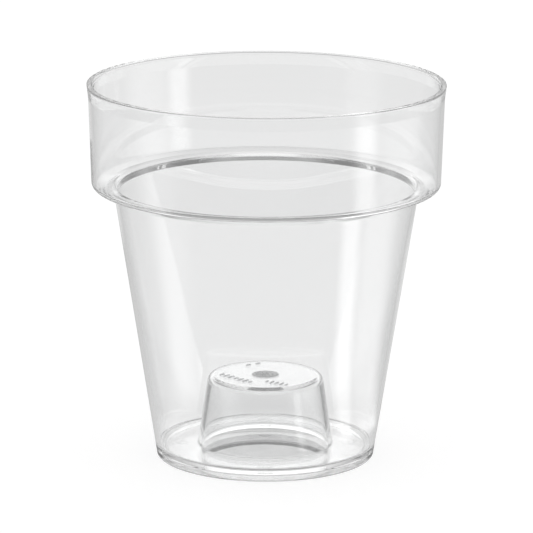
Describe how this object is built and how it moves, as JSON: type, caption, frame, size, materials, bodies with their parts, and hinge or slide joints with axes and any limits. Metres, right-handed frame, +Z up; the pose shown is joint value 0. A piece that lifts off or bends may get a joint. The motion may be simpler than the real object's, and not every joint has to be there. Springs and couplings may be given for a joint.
{
  "type": "orchid pot",
  "caption": "Clear plastic cover pot for an orchid: plain collar over an inward ledge, tapered body, flat floor and a hollow pedestal that lifts the inner pot.",
  "frame": {"origin": "centre of the ring the pot stands on, at the level of the surface under it", "axes": "+Z up along the pot's axis, -Y towards the viewer of the picture, +X to that viewer's right"},
  "size_m": [0.1308, 0.1308, 0.1391],
  "materials": {
    "clear_plastic": "water-clear, polished moulded polystyrene"
  },
  "bodies": {
    "root": {"rim_lip": "clear_plastic", "collar_wall": "clear_plastic", "collar_ledge": "clear_plastic", "body_wall": "clear_plastic", "base_heel": "clear_plastic", "floor_ring": "clear_plastic", "pedestal_foot": "clear_plastic", "pedestal_wall": "clear_plastic", "pedestal_top": "clear_plastic", "gate_mark": "clear_plastic", "ejector_pad_right": "clear_plastic", "ejector_pad_back": "clear_plastic", "ejector_pad_left": "clear_plastic", "ejector_pad_front": "clear_plastic"}
  },
  "joints": []
}
